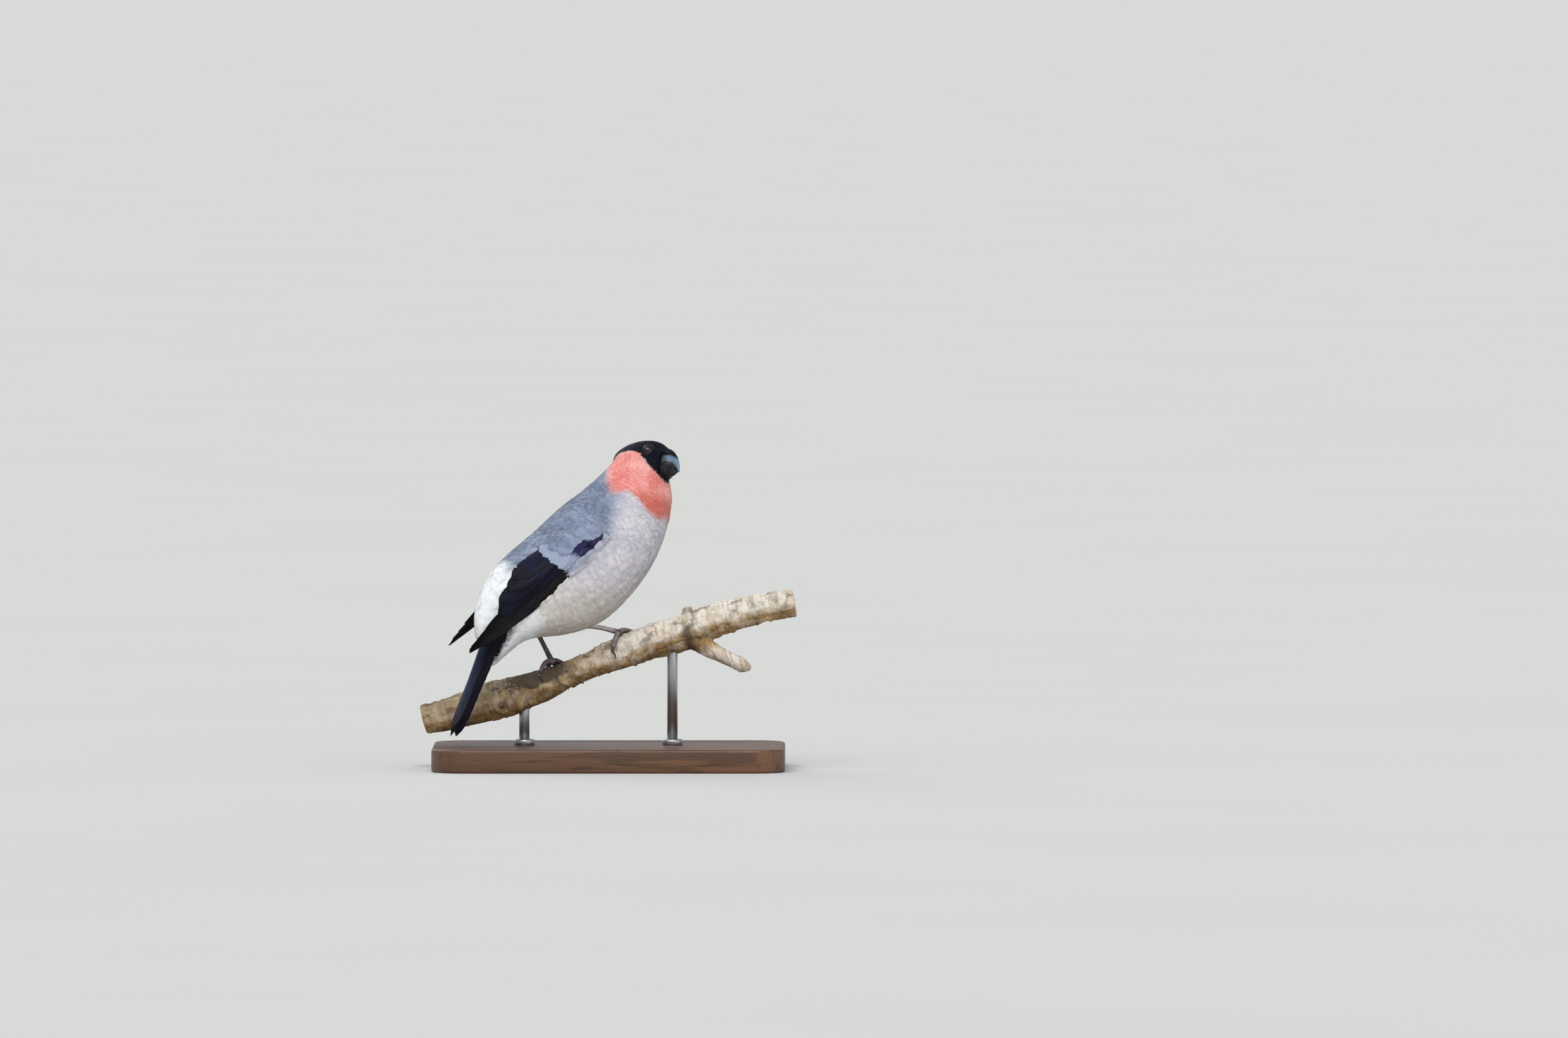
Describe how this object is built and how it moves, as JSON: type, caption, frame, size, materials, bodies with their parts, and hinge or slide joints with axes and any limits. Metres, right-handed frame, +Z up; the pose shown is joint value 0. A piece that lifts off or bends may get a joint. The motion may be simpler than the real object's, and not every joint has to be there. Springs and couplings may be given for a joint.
{
  "type": "bullfinch display model",
  "caption": "Life-size still model of a male bullfinch gripping a short branch, on a flat base with two slim rods.",
  "frame": {"origin": "centre of the underside of the stand's base", "axes": "+Z up, +X along the base and the branch towards the side the bird faces, +Y away from the viewer"},
  "size_m": [0.1607, 0.088, 0.1398],
  "materials": {
    "head_feathers": "glossy blue-black feathers",
    "pink_feathers": "soft rose-red feathers",
    "grey_feathers": "soft grey feathers",
    "white_feathers": "soft white feathers",
    "flight_feathers": "glossy blue-black feathers",
    "leg_skin": "scaled purplish-brown skin",
    "claw_horn": "dark horn",
    "bill_horn": "satin black horn",
    "eye": "very dark brown, wet gloss",
    "bark": "rough bark with pale lichen",
    "stand_wood": "dark oiled wood",
    "stand_steel": "brushed"
  },
  "bodies": {
    "root": {"head": "head_feathers", "neck": "pink_feathers", "torso": "grey_feathers", "rump": "white_feathers", "wing_right": "flight_feathers", "wing_left": "flight_feathers", "tail": "flight_feathers", "thigh_right": "white_feathers", "thigh_left": "white_feathers", "shank_right": "leg_skin", "shank_left": "leg_skin", "foot_right": "leg_skin", "foot_left": "leg_skin", "eye_right": "eye", "eye_left": "eye", "bill_upper": "bill_horn", "bill_lower": "bill_horn", "perch": "bark", "stand_base": "stand_wood", "stand_rod_left": "stand_steel", "stand_rod_right": "stand_steel", "claw_right_inner": "claw_horn", "claw_right_middle": "claw_horn", "claw_right_outer": "claw_horn", "claw_right_hind": "claw_horn", "claw_left_inner": "claw_horn", "claw_left_middle": "claw_horn", "claw_left_outer": "claw_horn", "claw_left_hind": "claw_horn"}
  },
  "joints": []
}
